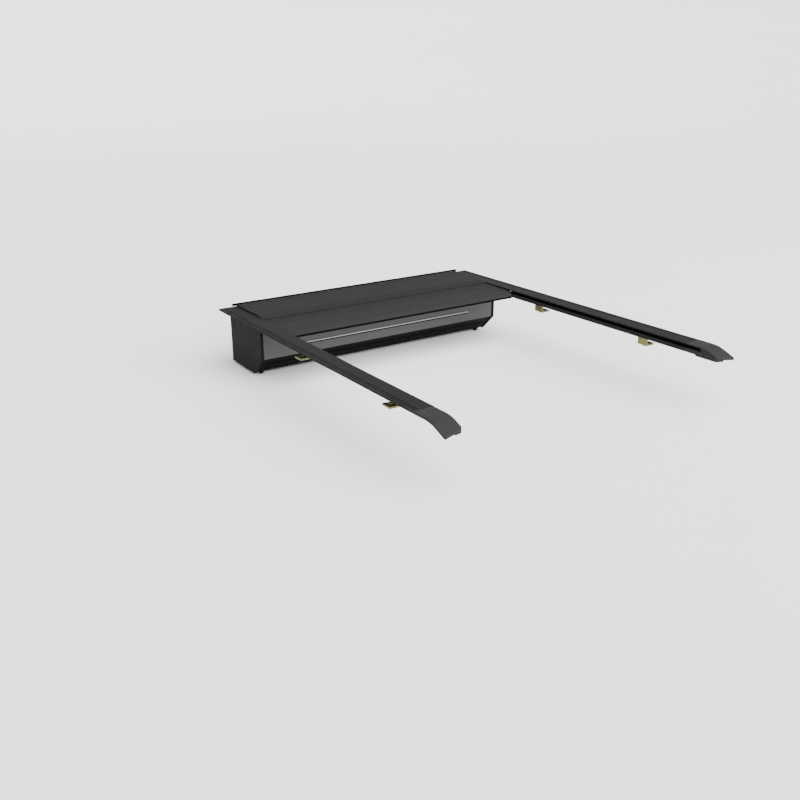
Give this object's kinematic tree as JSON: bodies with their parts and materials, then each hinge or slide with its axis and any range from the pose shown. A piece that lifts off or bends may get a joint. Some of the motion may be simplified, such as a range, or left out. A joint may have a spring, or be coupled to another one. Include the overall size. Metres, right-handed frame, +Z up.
{
  "type": "retractable tonneau cover",
  "caption": "Pickup bed cover whose slatted curtain rolls into a canister at the front, with side rails, end caps that curve down, a leading bar with a lock, and under-rail clamps.",
  "frame": {"origin": "centre of the canister's bulkhead face, at the height of the bed rails' top", "axes": "+X to the truck's right, +Y towards the cab, +Z up"},
  "size_m": [1.316, 1.59, 0.2603],
  "materials": {
    "lid_black": "textured black powder coat on aluminium",
    "slat_black": "textured black powder coat on aluminium",
    "rail_black": "satin black powder coat on aluminium",
    "tray_black": "satin black paint on aluminium",
    "face_grey": "satin grey coat on aluminium",
    "bright_trim": "brushed",
    "rubber": "matte",
    "pile": "short pile",
    "plastic": "fine grain",
    "black_screws": "black oxide",
    "steel": "turned",
    "spring_steel": "oiled",
    "lock_black": "satin black",
    "lock_chrome": "polished",
    "zinc": "olive zinc plating"
  },
  "bodies": {
    "housing": {"bracket_bolts": "zinc", "bulkhead_seal": "rubber", "canister_front_wall": "tray_black", "canister_lid": "lid_black", "canister_rear_panel": "face_grey", "canister_screws": "black_screws", "canister_tray": "tray_black", "clamp_fasteners": "zinc", "drain_spigot_left": "plastic", "drain_spigot_right": "plastic", "end_cap_screws": "black_screws", "end_plate_left": "tray_black", "end_plate_right": "tray_black", "exit_glide_strip": "plastic", "lid_end_cap_left": "lid_black", "lid_end_cap_right": "lid_black", "lid_wiper": "rubber", "rail_bracket_left": "zinc", "rail_bracket_right": "zinc", "rail_clamp_front_left": "zinc", "rail_clamp_front_right": "zinc", "rail_clamp_rear_left": "zinc", "rail_clamp_rear_right": "zinc", "rail_end_cap_left": "plastic", "rail_end_cap_right": "plastic", "rail_seal_left": "rubber", "rail_seal_right": "rubber", "rear_trim_strip": "bright_trim", "roller_shaft": "steel", "shaft_saddles": "steel", "side_rail_left": "rail_black", "side_rail_right": "rail_black", "slot_wiper_left": "pile", "slot_wiper_right": "pile", "spring_anchor": "steel", "strike_plates": "steel"},
    "curtain": {"flat_slat_1": "slat_black", "flat_slat_2": "slat_black", "flat_slat_3": "slat_black", "flat_slat_4": "slat_black", "slat_hinge_strips": "rubber", "slat_gliders": "plastic", "leading_bar": "slat_black", "bar_tail_seal": "rubber", "bar_carrier_left": "plastic", "bar_carrier_right": "plastic", "lock_housing": "lock_black", "rod_guides": "plastic", "bolt_spring_left": "spring_steel", "bolt_spring_right": "spring_steel"},
    "roller": {"roller_tube": "steel", "tube_plugs": "plastic", "torsion_spring": "spring_steel", "rolled_slats": "slat_black", "rolled_hinge_strips": "rubber"},
    "bolt_left": {"lock_bolt_left": "steel"},
    "bolt_right": {"lock_bolt_right": "steel"},
    "handle": {"lock_cam": "steel", "turn_handle": "lock_black"},
    "key": {"key_cylinder": "lock_chrome"}
  },
  "joints": [
    {"name": "curtain_slide", "type": "slide", "parent": "housing", "child": "curtain", "axis": [0, -1, 0], "range_m": [0, 1.085]},
    {"name": "roller_turn", "type": "hinge", "parent": "housing", "child": "roller", "pos_m": [0, -0.127, -0.1005], "axis": [1, 0, 0], "range_deg": [0, 721], "deforming": ["rolled_slats", "rolled_hinge_strips", "torsion_spring"]},
    {"name": "handle_turn", "type": "hinge", "parent": "curtain", "child": "handle", "pos_m": [0, -0.402, -0.02], "axis": [0, 0, 1], "range_deg": [0, 90]},
    {"name": "bolt_right_slide", "type": "slide", "parent": "curtain", "child": "bolt_right", "axis": [1, 0, 0], "range_m": [0, 0.0141], "deforming": ["bolt_spring_right"]},
    {"name": "bolt_left_slide", "type": "slide", "parent": "curtain", "child": "bolt_left", "axis": [-1, 0, 0], "range_m": [0, 0.0141], "deforming": ["bolt_spring_left"]},
    {"name": "key_turn", "type": "hinge", "parent": "handle", "child": "key", "pos_m": [0, -0.402, -0.03], "axis": [0, 0, 1], "range_deg": [0, 90]}
  ],
  "couplings": [
    {"joint": "roller_turn", "follows": "curtain_slide", "rad_per_m": 11.582},
    {"joint": "bolt_right_slide", "follows": "handle_turn", "m_per_rad": 0.0089127},
    {"joint": "bolt_left_slide", "follows": "handle_turn", "m_per_rad": 0.0089127}
  ]
}
